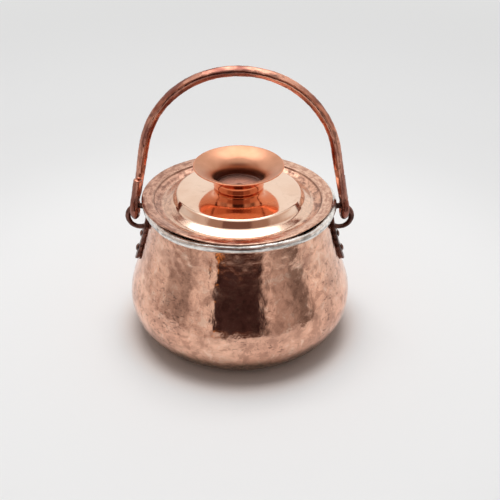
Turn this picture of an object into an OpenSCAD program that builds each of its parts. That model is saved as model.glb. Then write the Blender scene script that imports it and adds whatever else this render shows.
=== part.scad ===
// Copper stew pot with a separate stepped lid and a swinging bail handle.
// Units are millimetres. The origin is the centre of the base on the table and Z is up.
// X runs along the line of the bail's two eyes, and the front of the pot is at -Y.
// The pot body, lid and knob are sheet, so each is a path in the radius and height plane with a thickness.

/* [Pot body] */
// outer radius at the widest part of the belly
belly_radius = 102.3; // [90:0.1:125]
// height of the widest part of the belly above the table
belly_height = 39.3; // [30:0.1:55]
// radius of the round that runs from the belly down towards the base
lower_round = 44; // [40:0.5:60]
// height of the hammered crease where the base was turned in
crease_height = 9.1; // [4:0.1:14]
// how far the crease is pressed in
crease_depth = 0.5; // [0.1:0.1:1.2]
// radius of the flat part of the base
base_radius = 68; // [50:0.5:76]
// how far the base curve runs out along the table before it rises
base_ease = 9; // [4:0.5:12]
// outer radius of the neck just under the rim
neck_radius = 79.6; // [65:0.1:95]
// radius that pulls the neck curve out towards the belly
shoulder_radius = 86.9; // [75:0.1:100]
// height that the neck curve is pulled towards
shoulder_height = 76; // [60:0.5:95]
// how far the fullness of the belly reaches above its widest part
belly_fullness = 20; // [8:0.5:30]
// thickness of the body's sheet
wall = 1.6; // [1:0.1:3]

/* [Rim] */
// height of the top of the rim above the table
rim_height = 134.2; // [110:0.1:170]
// height of the wired rim bead
bead_height = 8.6; // [5:0.1:11]
// how far the rim bead stands out from the neck
bead_overhang = 7; // [4:0.1:10]

/* [Lid] */
// how far the lid's edge lies inside the bead's outer edge
lid_inset = 1.6; // [0.5:0.1:3]
// thickness of the lid's sheet
lid_sheet = 1.2; // [0.8:0.1:2]
// width of the flange, from the lid's edge to the step
flange_width = 10; // [8.5:0.1:14]
// width of the part of the flange that dips towards the step
dip_width = 5.5; // [3:0.1:7]
// how far the flange has dipped at the step
flange_dip = 0.7; // [0:0.1:2]
// height of the steep step at the inner side of the flange
step_height = 1.5; // [1:0.1:3]
// depth of the hammered channel below the flange, at its lowest
channel_depth = 6; // [3:0.1:9]
// width of the channel's floor, which slopes down from the step
channel_width = 7.4; // [5:0.1:12]
// width of the sloping skirt that rises from the channel
skirt_width = 9.6; // [6:0.1:14]
// height of the sloping skirt
skirt_rise = 4.2; // [2:0.1:7]
// how far the platform's wall leans inwards
wall_lean = 3.7; // [1:0.1:6]
// height of the platform's edge above the flange
platform_rise = 5.2; // [3:0.1:10]
// how far the platform rises from its edge to the knob's seat
platform_slope = 3.7; // [1:0.1:7]
// width of the flat seat outside the knob's foot
seat_margin = 1.6; // [0.5:0.1:4]
// radius of the bends in the lid's sheet
lid_bend = 1.3; // [0.9:0.1:2.5]

/* [Knob] */
// outer radius of the knob's foot
knob_foot_radius = 22.4; // [15:0.1:26]
// outer radius of the knob's open rim
knob_rim_radius = 39.9; // [28:0.1:48]
// height of the knob above its seat
knob_height = 21.4; // [12:0.1:32]
// thickness of the knob's sheet
knob_sheet = 1; // [0.6:0.1:2]
// radius of the bend at the knob's foot
knob_bend = 1.6; // [0.8:0.1:3]
// how far the knob's wall stands upright before it flares
knob_upright = 9; // [4:0.5:14]
// how far the flare runs outwards under the rim
knob_flare = 10; // [4:0.5:16]
// diameter of the rivet that holds the knob
knob_rivet_diameter = 4; // [3:0.1:6]
// diameter of the knob rivet's heads
knob_rivet_head = 6.8; // [5:0.1:10]
// height of the knob rivet's heads
knob_rivet_rise = 1.2; // [0.6:0.1:2.5]

/* [Ears] */
// width of the strap riveted to the neck
strap_width = 18; // [12:0.5:26]
// thickness of the strap
strap_thickness = 3.4; // [2:0.1:5]
// how far the strap's lower end is below the rim
strap_drop = 64.2; // [50:0.1:75]
// length of the strap from its lower end to where it begins to narrow
strap_straight = 36; // [25:0.5:42]
// diameter of the rod that the strap is drawn out into
hook_rod = 4.8; // [3.5:0.1:7]
// how far the middle of the hook's curl is outside the bead
hook_outward = 3.6; // [2:0.1:8]
// how steeply the rod leaves the neck, in degrees
hook_rise = 25; // [10:1:35]
// how far the curl passes its lowest point, in degrees
hook_return = 18; // [0:1:40]

/* [Ear rivets] */
// height of the lower rivet above the strap's lower end
lower_rivet_rise = 10.1; // [7:0.1:14]
// diameter of the rivets' shanks
rivet_diameter = 3.6; // [3:0.1:5]
// diameter of the rivets' outer heads
rivet_head = 8.4; // [6:0.1:11]
// height of the rivets' outer heads
rivet_rise = 2; // [1:0.1:4]
// diameter of the rivets' heads inside the pot
rivet_tail = 7.4; // [6:0.1:10]
// height of the rivets' heads inside the pot
rivet_tail_rise = 1.2; // [0.6:0.1:3]

/* [Bail] */
// radius of the bail's arch, to the middle of the rod
arch_radius = 84.3; // [75:0.1:105]
// height of the middle of the arch's circle above the pivot
arch_rise = 42.6; // [30:0.1:75]
// diameter of the bail's rod along the arch
bail_rod = 8.7; // [6:0.1:11]
// diameter of the bail's rod where it is folded back
fold_rod = 7.6; // [5:0.1:9]
// how far the middle of the eye is outside the middle of the hook's curl
eye_outward = 3.6; // [2:0.1:5]
// length of the folded end above the eye
fold_length = 21; // [10:0.5:40]
// how far the folded end stands outside the leg
fold_outward = 0.8; // [0:0.1:2]

/* [Fits] */
// gap round a rivet in its holes and under its heads
rivet_clearance = 0.1; // [0.05:0.05:0.5]
// gap between the top of the hook's rod and the middle of the bead's height
bead_clearance = 3.9; // [3.3:0.1:6]
// gap all round the hook's rod in the middle of the eye
eye_clearance = 1.45; // [1.1:0.05:3]
// how far the hook's rod is above the middle of the eye
eye_drop = 0.6; // [0:0.1:0.8]
// gap all round the eye's rod in the middle of the hook's curl
curl_clearance = 4.6; // [4:0.05:8]
// gap between the hook's curl and the head of the upper rivet
hook_rivet_clearance = 1.2; // [0.6:0.1:4]
// gap between the neck and the rod where it bends out to the hook
elbow_clearance = 0.1; // [0.05:0.05:0.5]

/* [Hidden] */
$fn = 96;
curve_steps = 16;
bend_steps = 5;
cap_steps = 6;
bead_steps = 24;

// Where one round bar runs on into another, it is thinner by this and reaches this far inside it.
lap_inset = 0.05;
lap_depth = 0.5;

// The bail's rod is pressed this far into itself where it is folded back.
fold_press = 0.05;

// The ear rivets' heads are cut to the curve of the strap and the wall from this deep.
head_set = 0.6;

// The rim's bead is an oval whose inner side is a little proud of the wall.
bead_proud = 0.2;
bead_radius = neck_radius + bead_overhang;
bead_inner = neck_radius - wall - bead_proud;
bead_half_width = (bead_radius - bead_inner) / 2;
bead_middle = (bead_radius + bead_inner) / 2;
bead_half_height = bead_height / 2;
bead_centre_height = rim_height - bead_half_height;
bead_start = -acos((neck_radius - bead_middle) / bead_half_width);
bead_join_height = bead_centre_height + bead_half_height * sin(bead_start);

// The lid's flange rests on top of the bead, and the knob stands on the lid's seat.
flange_middle_height = rim_height + lid_sheet / 2;
channel_middle_height = flange_middle_height - channel_depth;
seat_height = flange_middle_height + platform_rise + platform_slope + lid_sheet / 2;
knob_floor_top = seat_height + knob_sheet;

// The lid's rings follow each other inwards from its edge.
lid_radius = bead_radius - lid_inset;
step_radius = lid_radius - flange_width;
skirt_foot_radius = step_radius - channel_width;
wall_foot_radius = skirt_foot_radius - skirt_width;
platform_radius = wall_foot_radius - wall_lean;

// The lower round meets the crease, and the base curve carries on from there.
round_middle = belly_radius - lower_round;
crease_angle = asin((belly_height - crease_height) / lower_round);
crease_radius = round_middle + lower_round * cos(crease_angle);

// The hook's curl and the bail's eye are threaded through each other, and both stay clear of the bead.
hook_radius = fold_rod / 2 + hook_rod / 2 + curl_clearance;
hook_reach = bead_radius + hook_outward;
hook_start_angle = 90 + hook_rise;
hook_start_x = hook_reach + hook_radius * cos(hook_start_angle);
hook_start_z = bead_centre_height - bead_clearance - hook_rod / 2;
hook_height = hook_start_z - hook_radius * sin(hook_start_angle);
eye_radius = hook_rod / 2 + fold_rod / 2 + eye_clearance;
eye_reach = hook_reach + eye_outward;
pivot_height = hook_height + sqrt(hook_radius * hook_radius - eye_outward * eye_outward) - eye_drop;

// The leg and the folded end lie side by side, each as far from the middle of the eye.
fold_offset = fold_rod / 2 - fold_press;

// The leg is tangent to the arch and runs straight down to the eye.
arch_centre_height = pivot_height + arch_rise;
leg_span = norm([eye_reach, arch_rise]);
leg_flare = acos(arch_radius / leg_span) - atan(arch_rise / eye_reach);
leg_top_x = arch_radius * cos(leg_flare);
leg_top_z = arch_centre_height + arch_radius * sin(leg_flare);
fold_twist = asin(fold_offset / eye_reach);
eye_top = sqrt(eye_radius * eye_radius - fold_offset * fold_offset);

// a point of a cubic curve through its end points a and d, pulled towards b and c
function cubic(a, b, c, d, t) =
    pow(1 - t, 3) * a + 3 * pow(1 - t, 2) * t * b + 3 * (1 - t) * t * t * c + pow(t, 3) * d;

// the direction from one point to the next, turned a quarter turn to the left
function left_normal(p, q) = [p[1] - q[1], q[0] - p[0]] / norm(q - p);

// the path moved sideways by a distance, to its left if the distance is positive
function beside(path, distance) = [
    for (i = [0 : len(path) - 1])
        let (
            before = left_normal(path[max(i - 1, 0)], path[max(i, 1)]),
            after = left_normal(path[min(i, len(path) - 2)], path[min(i + 1, len(path) - 1)])
        )
        path[i] + distance * (before + after) / (1 + before * after)
];

// the path with each inner corner replaced by a bend of the given radius
function bent(corners, radius) = [
    for (i = [0 : len(corners) - 1])
        for (p = (i == 0 || i == len(corners) - 1) ? [corners[i]]
            : bend(corners[i - 1], corners[i], corners[i + 1], radius)) p
];

// the points of one bend at corner b between its neighbours a and c
function bend(a, b, c, radius) =
    let (
        u = (a - b) / norm(a - b),
        v = (c - b) / norm(c - b),
        half = acos(u * v) / 2,
        reach = radius / tan(half),
        middle = b + (u + v) / norm(u + v) * radius / sin(half),
        from = b + u * reach - middle,
        turn = (180 - 2 * half) * sign(u[1] * v[0] - u[0] * v[1])
    )
    [for (k = [0 : bend_steps]) middle + turned(from, turn * k / bend_steps)];

// a vector turned by an angle
function turned(p, angle) =
    [p[0] * cos(angle) - p[1] * sin(angle), p[0] * sin(angle) + p[1] * cos(angle)];

// the points of a list in the opposite order
function backwards(points) = [for (i = [len(points) - 1 : -1 : 0]) points[i]];

// the points of a list from one place to another
function points_of(points, first, last) = [for (i = [first : last]) points[i]];

// the half round edge at the end of a sheet that arrives at point p along a direction
function edge_cap(p, from, radius) =
    let (right = -radius * left_normal(from, p))
    [for (k = [1 : cap_steps - 1]) p + turned(right, 180 * k / cap_steps)];

// a sheet drawn as its middle line from the axis outwards, with a rounded outer edge
function sheet(path, thickness) = concat(
    beside(path, -thickness / 2),
    edge_cap(path[len(path) - 1], path[len(path) - 2], thickness / 2),
    backwards(beside(path, thickness / 2))
);

// the body's outer path from the axis, along the base, round the belly and up to the rim
base_path = [for (k = [0 : curve_steps / 2]) cubic(
    [base_radius, 0],
    [base_radius + base_ease, 0],
    [crease_radius - crease_height * 0.72, crease_height * 0.2],
    [crease_radius - crease_depth * cos(crease_angle), crease_height + crease_depth * sin(crease_angle)],
    2 * k / curve_steps
)];
round_path = [for (k = [1 : curve_steps])
    [round_middle, belly_height]
        + lower_round * [
            cos(crease_angle * (1 - k / curve_steps)),
            -sin(crease_angle * (1 - k / curve_steps))
        ]
];
neck_path = [for (k = [1 : curve_steps]) cubic(
    [belly_radius, belly_height],
    [belly_radius, belly_height + belly_fullness],
    [shoulder_radius, shoulder_height],
    [neck_radius, bead_join_height],
    k / curve_steps
)];
outer_path = concat([[0, 0]], base_path, round_path, neck_path);
inner_path = beside(outer_path, wall);

bead_path = [for (k = [1 : bead_steps])
    [bead_middle, bead_centre_height]
        + [
            bead_half_width * cos(bead_start + (180 - bead_start) * k / bead_steps),
            bead_half_height * sin(bead_start + (180 - bead_start) * k / bead_steps)
        ]
];

// The flat of the base, the foot round it and the wall are one sheet. They meet at the base's radius
// and at the crease.
crease_place = len(base_path);
base_half = ring_of_sheet(0, 1);
foot_half = ring_of_sheet(1, crease_place);
wall_half = concat(points_of(outer_path, crease_place, len(outer_path) - 1), bead_path,
    backwards(points_of(inner_path, crease_place, len(inner_path) - 1)));

// the half section of the body's sheet between two places on its path
function ring_of_sheet(first, last) =
    concat(points_of(outer_path, first, last), backwards(points_of(inner_path, first, last)));

// the outer radius of the neck at a height, and how far the wall leans in there
neck_table = [for (p = neck_path) [p[1], p[0]]];
function radius_at(height) = lookup(height, neck_table);
function lean_at(height) = atan((radius_at(height - 2) - radius_at(height + 2)) / 4);

// The hook's rod leaves the strap at an elbow just clear of the neck.
elbow_x = radius_at(hook_start_z) + elbow_clearance + hook_rod / 2;
elbow_z = hook_start_z - (hook_start_x - elbow_x) * tan(hook_rise);

// The strap hangs down from there, and the rivets are placed along it.
strap_top = elbow_z + hook_rod / 4;
strap_bottom = rim_height - strap_drop;
strap_shoulder = strap_bottom + strap_straight;
lower_rivet_height = strap_bottom + lower_rivet_rise;
upper_rivet_height = hook_height - hook_radius - hook_rod / 2 - hook_rivet_clearance - rivet_head / 2;

// the lid's middle line from the axis out to the flange's edge
lid_path = bent([
    [0, seat_height - lid_sheet / 2],
    [knob_foot_radius + seat_margin, seat_height - lid_sheet / 2],
    [platform_radius, flange_middle_height + platform_rise],
    [wall_foot_radius, channel_middle_height + skirt_rise],
    [skirt_foot_radius, channel_middle_height],
    [step_radius - lid_sheet / 2, flange_middle_height - flange_dip - step_height],
    [step_radius + lid_sheet / 4, flange_middle_height - flange_dip],
    [step_radius + dip_width, flange_middle_height],
    [lid_radius - lid_sheet / 2, flange_middle_height]
], lid_bend);

// the knob's middle line from the axis, round its foot and up the flare
knob_corner = [knob_foot_radius - knob_sheet / 2, seat_height + knob_sheet / 2];
knob_rim = [knob_rim_radius - knob_sheet / 2, seat_height + knob_height - knob_sheet / 2];
knob_wall_start = knob_corner + [0, 2 * knob_bend];
knob_wall = [for (k = [1 : curve_steps]) cubic(
    knob_wall_start,
    knob_wall_start + [0, knob_upright],
    knob_rim - [knob_flare, knob_flare / 3],
    knob_rim,
    k / curve_steps
)];
knob_path = concat(bent([[0, knob_corner[1]], knob_corner, knob_wall_start], knob_bend), knob_wall);

// a rivet head: a low dome whose flat side is on the XY plane
module dome(diameter, rise) {
    ball = (diameter * diameter / 4 + rise * rise) / (2 * rise);
    intersection() {
        translate([0, 0, rise - ball]) sphere(r = ball);
        translate([0, 0, rise / 2]) cube([2 * diameter, 2 * diameter, rise], center = true);
    }
}

// a round bar between two points of the XZ plane
module bar(from, to, r1, r2) {
    run = to - from;
    translate([from[0], 0, from[1]]) rotate([0, atan2(run[0], run[1]), 0])
        cylinder(h = norm(run), r1 = r1, r2 = r2);
}

// places its children on the neck's outer surface at +X, with Z pointing straight out of the wall
module on_neck(height) {
    translate([radius_at(height), 0, height]) rotate([0, 90 - lean_at(height), 0]) children();
}

// the holes that the ear's rivets pass through
module ear_rivet_holes() {
    for (height = [upper_rivet_height, lower_rivet_height])
        on_neck(height) cylinder(h = 4 * (wall + strap_thickness), d = rivet_diameter + 2 * rivet_clearance,
            center = true);
}

// the ear at +X: a strap that fits the neck, and the rod hook at its top
module ear() {
    difference() {
        union() {
            intersection() {
                rotate_extrude() polygon(concat(neck_path, backwards(beside(neck_path, -strap_thickness))));
                rotate([90, 0, 90]) linear_extrude(height = bead_radius + strap_width) polygon(strap_outline());
            }
            bar([elbow_x, elbow_z], [hook_start_x, hook_start_z] + lap_depth * [cos(hook_rise), sin(hook_rise)],
                hook_rod / 2 - lap_inset, hook_rod / 2 - lap_inset);
            translate([elbow_x, 0, elbow_z]) sphere(d = hook_rod);
            hook_curl();
        }
        ear_rivet_holes();
    }
}

// the strap seen from the side: a round lower end, and shoulders that narrow to the rod
function strap_outline() = concat(
    [for (k = [0 : bead_steps / 2])
        [0, strap_bottom + strap_width / 2]
            + strap_width / 2 * [-cos(360 * k / bead_steps), -sin(360 * k / bead_steps)]],
    [[strap_width / 2, strap_shoulder]],
    [for (k = [1 : curve_steps]) cubic(
        [strap_width / 2, strap_shoulder],
        [strap_width / 2, (strap_shoulder + strap_top) / 2],
        [hook_rod / 2, (strap_shoulder + strap_top) / 2],
        [hook_rod / 2, strap_top],
        k / curve_steps)],
    [for (k = [0 : curve_steps]) cubic(
        [-hook_rod / 2, strap_top],
        [-hook_rod / 2, (strap_shoulder + strap_top) / 2],
        [-strap_width / 2, (strap_shoulder + strap_top) / 2],
        [-strap_width / 2, strap_shoulder],
        k / curve_steps)]
);

// the curled part of the hook and its rounded free end
module hook_curl() {
    turn = 180 + hook_rise + hook_return;
    translate([hook_reach, 0, hook_height]) {
        rotate([90, 0, 0]) rotate([0, 0, hook_start_angle - turn])
            rotate_extrude(angle = turn) translate([hook_radius, 0]) circle(d = hook_rod);
        rotate([0, turn - hook_start_angle, 0]) translate([hook_radius, 0, 0]) sphere(r = hook_rod / 2 - lap_inset);
    }
}

// one ear rivet at +X, through the strap and the wall, with a head at each end that is set to their curve
module ear_rivet(height) {
    difference() {
        on_neck(height) {
            translate([0, 0, strap_thickness - head_set]) dome(rivet_head, rivet_rise + head_set);
            translate([0, 0, head_set - wall]) mirror([0, 0, 1]) dome(rivet_tail, rivet_tail_rise + head_set);
        }
        neck_band();
    }
    on_neck(height) translate([0, 0, -wall - head_set / 2])
        cylinder(h = wall + strap_thickness + head_set, d = rivet_diameter);
}

// the wall and the strap's thickness all round the neck, with the clearance that the rivets' heads keep
module neck_band() {
    rotate_extrude() polygon(concat(
        beside(neck_path, wall + rivet_clearance),
        backwards(beside(neck_path, -strap_thickness - rivet_clearance))
    ));
}

// the leg, the eye and the folded end of the bail at +X, with the leg in front of the eye's middle
module bail_end() {
    up_leg = [-sin(leg_flare), cos(leg_flare)];
    leg_bottom = [eye_reach, pivot_height] + eye_top * up_leg;
    leg_top = [leg_top_x, leg_top_z] + lap_depth * up_leg;
    fold_top = leg_bottom + fold_length * up_leg;
    rotate([0, 0, -fold_twist]) bar(leg_bottom, leg_top, fold_rod / 2, bail_rod / 2 - lap_inset);
    translate([eye_reach, 0, pivot_height]) rotate([0, 90, 0])
        rotate_extrude() translate([eye_radius, 0]) circle(d = fold_rod);
    translate([fold_outward, fold_offset, 0]) {
        bar(leg_bottom, fold_top, fold_rod / 2, fold_rod / 2);
        translate([fold_top[0], 0, fold_top[1]]) sphere(r = fold_rod / 2 - lap_inset);
    }
}

module pot_body() {
    color("peru") difference() {
        rotate_extrude() polygon(wall_half);
        for (side = [0, 180]) rotate([0, 0, side]) ear_rivet_holes();
    }
}

module pot_foot() {
    color("peru") rotate_extrude() polygon(foot_half);
}

module pot_base() {
    color("peru") rotate_extrude() polygon(base_half);
}

module lid() {
    color("chocolate") difference() {
        rotate_extrude() polygon(sheet(lid_path, lid_sheet));
        translate([0, 0, seat_height]) cylinder(h = 4 * lid_sheet, d = knob_rivet_diameter + 2 * rivet_clearance,
            center = true);
    }
}

module lid_knob() {
    color("sandybrown") difference() {
        rotate_extrude() polygon(sheet(knob_path, knob_sheet));
        translate([0, 0, seat_height]) cylinder(h = 4 * knob_sheet, d = knob_rivet_diameter + 2 * rivet_clearance,
            center = true);
    }
}

module knob_rivet() {
    color("saddlebrown") {
        translate([0, 0, knob_floor_top]) dome(knob_rivet_head, knob_rivet_rise);
        translate([0, 0, seat_height - lid_sheet]) cylinder(h = lid_sheet + knob_sheet, d = knob_rivet_diameter);
        translate([0, 0, seat_height - lid_sheet]) mirror([0, 0, 1]) dome(knob_rivet_head, knob_rivet_rise);
    }
}

module right_ear() {
    color("dimgray") ear();
}

module left_ear() {
    color("dimgray") rotate([0, 0, 180]) ear();
}

module right_upper_rivet() {
    color("saddlebrown") ear_rivet(upper_rivet_height);
}

module right_lower_rivet() {
    color("saddlebrown") ear_rivet(lower_rivet_height);
}

module left_upper_rivet() {
    color("saddlebrown") rotate([0, 0, 180]) ear_rivet(upper_rivet_height);
}

module left_lower_rivet() {
    color("saddlebrown") rotate([0, 0, 180]) ear_rivet(lower_rivet_height);
}

module bail() {
    color("sienna") {
        rotate([0, 0, -fold_twist]) translate([0, 0, arch_centre_height]) rotate([90, 0, 0])
            rotate([0, 0, leg_flare]) rotate_extrude(angle = 180 - 2 * leg_flare)
                translate([arch_radius, 0]) circle(d = bail_rod);
        for (side = [0, 180]) rotate([0, 0, side]) bail_end();
    }
}

pot_body();
pot_foot();
pot_base();
lid();
lid_knob();
knob_rivet();
left_ear();
right_ear();
left_upper_rivet();
left_lower_rivet();
right_upper_rivet();
right_lower_rivet();
bail();
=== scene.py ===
"""Looks of a hammered copper stew pot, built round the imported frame.

The pot body, lid and knob are turned from the same profiles as the solids, and then hammered.
The ears and the bail are swept along the same lines as the solids, with a forged section.
"""

import math

import bpy
import numpy as np
from mathutils.kdtree import KDTree
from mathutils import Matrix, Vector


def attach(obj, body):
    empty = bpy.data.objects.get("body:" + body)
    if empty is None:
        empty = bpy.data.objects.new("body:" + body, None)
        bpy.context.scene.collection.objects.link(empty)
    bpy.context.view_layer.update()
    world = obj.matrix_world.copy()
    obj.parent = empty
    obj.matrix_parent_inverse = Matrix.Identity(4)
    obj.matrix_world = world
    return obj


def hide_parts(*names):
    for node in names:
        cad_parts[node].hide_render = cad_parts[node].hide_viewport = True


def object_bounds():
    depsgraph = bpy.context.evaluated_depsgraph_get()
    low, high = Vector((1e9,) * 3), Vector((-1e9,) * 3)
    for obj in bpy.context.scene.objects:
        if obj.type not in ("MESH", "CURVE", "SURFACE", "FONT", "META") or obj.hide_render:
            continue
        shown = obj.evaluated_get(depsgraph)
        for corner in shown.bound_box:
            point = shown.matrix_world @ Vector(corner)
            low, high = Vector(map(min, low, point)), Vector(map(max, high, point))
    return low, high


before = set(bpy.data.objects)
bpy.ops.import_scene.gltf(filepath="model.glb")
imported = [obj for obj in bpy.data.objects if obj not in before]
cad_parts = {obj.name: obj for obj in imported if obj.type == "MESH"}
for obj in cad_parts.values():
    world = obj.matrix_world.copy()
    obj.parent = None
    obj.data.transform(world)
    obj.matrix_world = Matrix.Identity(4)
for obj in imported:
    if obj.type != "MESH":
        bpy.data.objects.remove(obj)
cad_low, cad_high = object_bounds()

MM = 0.001

# Camera, as fitted to the picture
CAMERA_PLACE = (0.0, -0.669, 0.493)
CAMERA_PITCH = 31.84
CAMERA_SHIFT = 0.0206
CAMERA_LENS = 61.2
CAMERA_SENSOR = 36.0

# Light, with lengths in metres: the plain light from all round, the backdrop, the floor and the lamp
AMBIENT = 0.37
OPEN_SIDES = (1.0, 0.99, 0.975, 1)
BACKDROP = (0.775, 0.775, 0.77, 1)
FLOOR_HALF = 4.0
LAMP_PLACE = (-0.08, 0.28, 2.5)
LAMP_TARGET = (0, 0, 0.08)
LAMP_SIZE = (1.5, 1.3)
LAMP_POWER = 42.5

# What shows only in reflections: a glowing card above, and a round wall with its brightness by degrees
CARD_X = (-1.07, 0.83)
CARD_Y = (-0.52, 1.08)
CARD_HEIGHT = 1.92
CARD_GLOW = 2.9
STUDIO_RADIUS = 0.56
STUDIO_HEIGHT = 0.62
STUDIO_FACES = 120
CORE_AZIMUTH = -2.8
LAMP_GLINT_AZIMUTH = -22.5
STUDIO_LEVELS = [
    (-180, 0.84), (-118, 0.74), (-97, 0.76), (-84, 0.76), (-74, 0.44), (-64, 0.50), (-54, 0.34),
    (-46, 0.68), (-41, 0.86), (-37, 0.60), (-31, 0.80), (22, 0.34), (26, 0.38), (28, 0.78),
    (31, 0.70), (34, 0.48), (46, 0.46), (56, 0.24), (67, 0.21), (74, 0.80), (86, 0.92),
    (118, 0.95), (180, 0.95),
]

# Profile values of the solids, in millimetres
BELLY_RADIUS = 102.3
BELLY_HEIGHT = 39.3
LOWER_ROUND = 44.0
CREASE_HEIGHT = 9.1
CREASE_DEPTH = 0.5
BASE_RADIUS = 68.0
BASE_EASE = 9.0
NECK_RADIUS = 79.6
NECK_TOP = 126.4
SHOULDER = (86.9, 76.0)
BELLY_FULLNESS = 20.0
WALL = 1.6
RIM_HEIGHT = 134.2
BEAD_HEIGHT = 8.6
BEAD_RADIUS = 86.6
BEAD_PROUD = 0.2
LID_SHEET = 1.2
LID_RADIUS = 85.0
FLANGE_MIDDLE = RIM_HEIGHT + LID_SHEET / 2
FLANGE_BEND = 80.5
STEP_RADIUS = 75.0
STEP_TOP_DROP = 0.7
STEP_FOOT_DROP = 2.2
CHANNEL_RADIUS = 67.6
CHANNEL_DROP = 6.0
SKIRT_TOP_RADIUS = 58.0
SKIRT_TOP_DROP = 1.8
PLATFORM_RADIUS = 54.3
PLATFORM_RISE = 5.2
SEAT_RADIUS = 24.0
SEAT_RISE = 8.9
SEAT_HEIGHT = FLANGE_MIDDLE + SEAT_RISE + LID_SHEET / 2
KNOB_SHEET = 1.0
KNOB_FOOT = 22.4
KNOB_BEND = 3.2
KNOB_STRAIGHT = 9.0
KNOB_FLARE = 10.0
KNOB_RADIUS = 39.9
KNOB_HEIGHT = 21.4
STRAP_WIDTH = 18.0
STRAP_THICKNESS = 3.4
STRAP_BOTTOM = 70.0
STRAP_SHOULDER = 106.0
STRAP_TOP = 124.0
HOOK_ROD = 4.8
HOOK_RADIUS = 10.8
HOOK_REACH = 90.2
HOOK_HEIGHT = 113.8
HOOK_RISE = 25.0
HOOK_RETURN = 18.0
ARCH_RADIUS = 84.3
ARCH_HEIGHT = 166.0
BAIL_ROD = 8.7
FOLD_ROD = 7.6
EYE_REACH = 93.8
PIVOT_HEIGHT = 123.4
EYE_RADIUS = 7.65
FOLD_OFFSET = 3.75
FOLD_LENGTH = 21.0
FOLD_OUTWARD = 0.8

# How far the hand-made lid lies to the left of the axis, and how much further its edge does
LID_SHIFT = 0.9
FLANGE_SHIFT = 1.3

# How far inside the solids' box every uneven piece stays, in millimetres
BOX_MARGIN = 0.03

# Columns of the turned pieces
BODY_COLUMNS = 440
LID_COLUMNS = 448
KNOB_COLUMNS = 320


# Small helpers for numbers and paths

def cubic(a, b, c, d, count, start=0):
    """Points of a cubic curve from a to d, pulled towards b and c."""
    t = (np.arange(start, count + 1) / count)[:, None]
    a, b, c, d = (np.array(p, float) for p in (a, b, c, d))
    return (1 - t) ** 3 * a + 3 * (1 - t) ** 2 * t * b + 3 * (1 - t) * t * t * c + t ** 3 * d


def smooth_step(x, low, high):
    """From 0 at low to 1 at high, without corners."""
    t = np.clip((x - low) / (high - low), 0, 1)
    return t * t * (3 - 2 * t)


def resampled(path, spacing):
    """The path with points at an even spacing."""
    path = np.asarray(path, float)
    steps = np.linalg.norm(np.diff(path, axis=0), axis=1)
    along = np.concatenate([[0], np.cumsum(steps)])
    count = max(2, int(round(along[-1] / spacing)) + 1)
    at = np.linspace(0, along[-1], count)
    return np.stack([np.interp(at, along, path[:, k]) for k in range(path.shape[1])], 1)


def path_normals(path):
    """Unit normals on the left of a path in the radius and height plane."""
    along = np.gradient(path, axis=0)
    normals = np.stack([-along[:, 1], along[:, 0]], 1)
    return normals / np.linalg.norm(normals, axis=1)[:, None]


def rounded(corners, reaches, spacing):
    """A path through corners, each one softened by a bend of its own reach."""
    points = [np.array(corners[0], float)]
    for before, corner, after, radius in zip(corners, corners[1:], corners[2:], reaches):
        b = np.array(corner, float)
        u = np.array(before, float) - b
        v = np.array(after, float) - b
        reach = min(radius, 0.45 * np.linalg.norm(u), 0.45 * np.linalg.norm(v))
        start = b + u / np.linalg.norm(u) * reach
        end = b + v / np.linalg.norm(v) * reach
        for t in np.linspace(0, 1, 7):
            points.append((1 - t) ** 2 * start + 2 * (1 - t) * t * b + t * t * end)
    points.append(np.array(corners[-1], float))
    return resampled(np.array(points), spacing)


def lattice_value(cell, seed):
    """A repeatable number from -1 to 1 for each cell of a lattice."""
    c = cell.astype(np.int64)
    mixed = c[:, 0] * 374761393 + c[:, 1] * 668265263 + c[:, 2] * 1274126177 + seed * 974634777
    mixed = (mixed ^ (mixed >> 13)) & 0x7FFFFFFF
    mixed = (mixed * 1103515245 + 12345) & 0x7FFFFFFF
    mixed = (mixed ^ (mixed >> 11)) & 0x7FFFFFFF
    return mixed / 0x3FFFFFFF - 1.0


def wave(points, size, seed):
    """Smooth noise from about -1 to 1, with features of the given size."""
    total = np.zeros(len(points))
    weight = 1.0
    for octave in range(2):
        p = points / (size / 2 ** octave) + 17.3 * octave
        cell = np.floor(p)
        f = p - cell
        f = f * f * (3 - 2 * f)
        value = np.zeros(len(points))
        for dx in (0, 1):
            for dy in (0, 1):
                for dz in (0, 1):
                    nearness = (
                        (f[:, 0] if dx else 1 - f[:, 0])
                        * (f[:, 1] if dy else 1 - f[:, 1])
                        * (f[:, 2] if dz else 1 - f[:, 2])
                    )
                    value += nearness * lattice_value(cell + (dx, dy, dz), seed + octave)
        total += weight * value
        weight *= 0.5
    return total


def hammer_marks(points, centres, radius, strengths):
    """How deep each point lies in the hammer mark nearest to it, from 0 to its strength."""
    tree = KDTree(len(centres))
    for i, c in enumerate(centres):
        tree.insert(c, i)
    tree.balance()
    depth = np.zeros(len(points))
    for i, p in enumerate(points):
        _, nearest, distance = tree.find(p)
        depth[i] = max(0.0, 1 - (distance / radius) ** 2) * strengths[nearest]
    return depth


def ring_of_marks(path, spacing, random):
    """Centres of hammer marks laid in uneven rings round a turned surface."""
    centres = []
    for r, z in resampled(path, spacing):
        count = max(3, int(2 * math.pi * r / (spacing * 1.1)))
        turn = random.uniform(0, 2 * math.pi)
        for k in range(count):
            a = turn + 2 * math.pi * (k + random.uniform(-0.3, 0.3)) / count
            dz = random.uniform(-0.3, 0.3) * spacing
            dr = random.uniform(-0.1, 0.1) * spacing
            centres.append(((r + dr) * math.cos(a), (r + dr) * math.sin(a), z + dz))
    return centres


# Meshes

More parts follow.
